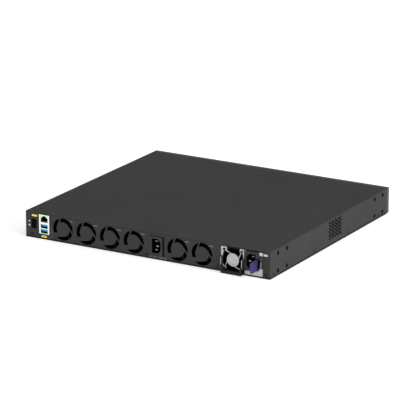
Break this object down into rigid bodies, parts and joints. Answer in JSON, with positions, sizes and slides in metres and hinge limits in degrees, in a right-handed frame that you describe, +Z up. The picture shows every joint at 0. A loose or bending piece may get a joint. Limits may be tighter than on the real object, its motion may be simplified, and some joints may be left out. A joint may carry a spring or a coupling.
{
  "type": "rack network switch",
  "caption": "One-unit rack network switch with rear fan vents, a fixed mains inlet, a slide-out power module and front transceiver cages.",
  "frame": {"origin": "middle of the chassis underside", "axes": "+Z up, +Y towards the rear panel, -Y towards the port side"},
  "size_m": [0.44, 0.4208, 0.0432],
  "materials": {
    "case_paint": "matte, fine powder texture",
    "bezel_plastic": "matte",
    "screw_black": "satin black oxide",
    "bare_steel": "plain zinc-plated",
    "module_paint": "satin",
    "bright_steel": "bright nickel",
    "black_plastic": "fine matte",
    "rotor_plastic": "satin",
    "plated_brass": "plated",
    "usb_blue": "satin",
    "latch_violet": "satin",
    "board_green": "solder mask",
    "sink_aluminium": "extruded",
    "clear_lens": "clear",
    "green_lens": "clear",
    "can_sleeve": "shrink sleeve",
    "wire_sleeve": "smooth insulation"
  },
  "bodies": {
    "chassis": {"base_tray": "case_paint", "top_cover": "case_paint", "front_bezel": "bezel_plastic", "chassis_screws": "screw_black", "rack_nuts": "screw_black", "fan_frame_1": "black_plastic", "fan_frame_2": "black_plastic", "fan_frame_3": "black_plastic", "fan_frame_4": "black_plastic", "fan_frame_5": "black_plastic", "fan_frame_6": "black_plastic", "fan_trays": "bare_steel", "stack_shield": "bright_steel", "stack_insert": "black_plastic", "jack_contacts": "plated_brass", "usb_tongues": "usb_blue", "stack_lights": "green_lens", "console_bezel": "black_plastic", "console_socket": "bright_steel", "status_lenses": "clear_lens", "ac_inlet": "black_plastic", "ac_blades": "plated_brass", "ac_wires": "wire_sleeve", "main_board": "board_green", "management_board": "board_green", "board_standoffs": "bare_steel", "switch_chip": "black_plastic", "chip_heatsink": "sink_aluminium", "board_capacitors": "can_sleeve", "port_cage_left": "bare_steel", "port_cage_right": "bare_steel", "wide_cages": "bare_steel", "light_pipes": "clear_lens", "reset_switch": "black_plastic", "supply_case": "bare_steel", "supply_board": "board_green", "supply_transformer": "can_sleeve", "bay_guide": "bare_steel", "bay_socket": "black_plastic"},
    "power_module": {"module_case": "module_paint", "module_board": "board_green", "module_parts": "can_sleeve", "module_inlet": "black_plastic", "module_blades": "plated_brass", "module_fan_frame": "black_plastic", "module_guard": "bright_steel", "guard_screws": "bright_steel", "module_clip": "bright_steel", "module_lamps": "green_lens", "latch_pin": "bright_steel"},
    "module_handle": {"module_handle": "bezel_plastic"},
    "module_latch": {"module_latch": "latch_violet"},
    "module_rotor": {"module_rotor": "rotor_plastic"},
    "reset_button": {"reset_button": "bezel_plastic"},
    "fan_rotor_1": {"fan_rotor_1": "rotor_plastic"},
    "fan_rotor_2": {"fan_rotor_2": "rotor_plastic"},
    "fan_rotor_3": {"fan_rotor_3": "rotor_plastic"},
    "fan_rotor_4": {"fan_rotor_4": "rotor_plastic"},
    "fan_rotor_5": {"fan_rotor_5": "rotor_plastic"},
    "fan_rotor_6": {"fan_rotor_6": "rotor_plastic"}
  },
  "joints": [
    {"name": "fan_1_spin", "type": "hinge", "parent": "chassis", "child": "fan_rotor_1", "pos_m": [0.1504, 0.184, 0.0221], "axis": [0, 1, 0], "continuous": true},
    {"name": "fan_2_spin", "type": "hinge", "parent": "chassis", "child": "fan_rotor_2", "pos_m": [0.1071, 0.184, 0.0221], "axis": [0, 1, 0], "continuous": true},
    {"name": "fan_3_spin", "type": "hinge", "parent": "chassis", "child": "fan_rotor_3", "pos_m": [0.0638, 0.184, 0.0221], "axis": [0, 1, 0], "continuous": true},
    {"name": "fan_4_spin", "type": "hinge", "parent": "chassis", "child": "fan_rotor_4", "pos_m": [0.0205, 0.184, 0.0221], "axis": [0, 1, 0], "continuous": true},
    {"name": "fan_5_spin", "type": "hinge", "parent": "chassis", "child": "fan_rotor_5", "pos_m": [-0.0584, 0.184, 0.0221], "axis": [0, 1, 0], "continuous": true},
    {"name": "fan_6_spin", "type": "hinge", "parent": "chassis", "child": "fan_rotor_6", "pos_m": [-0.1017, 0.184, 0.0221], "axis": [0, 1, 0], "continuous": true},
    {"name": "module_slide", "type": "slide", "parent": "chassis", "child": "power_module", "axis": [0, 1, 0], "range_m": [0, 0.185]},
    {"name": "module_fan_spin", "type": "hinge", "parent": "power_module", "child": "module_rotor", "pos_m": [-0.1558, 0.1856, 0.0215], "axis": [0, 1, 0], "continuous": true},
    {"name": "handle_fold", "type": "hinge", "parent": "power_module", "child": "module_handle", "pos_m": [-0.1559, 0.2043, 0.0144], "axis": [1, 0, 0], "range_deg": [0, 90]},
    {"name": "latch_press", "type": "hinge", "parent": "power_module", "child": "module_latch", "pos_m": [-0.19775, 0.15, 0.0199], "axis": [0, 0, 1], "range_deg": [0, 1.2], "stiffness_Nm_per_rad": 20},
    {"name": "reset_press", "type": "slide", "parent": "chassis", "child": "reset_button", "axis": [0, 1, 0], "range_m": [0, 0.0008], "stiffness_N_per_m": 800}
  ]
}
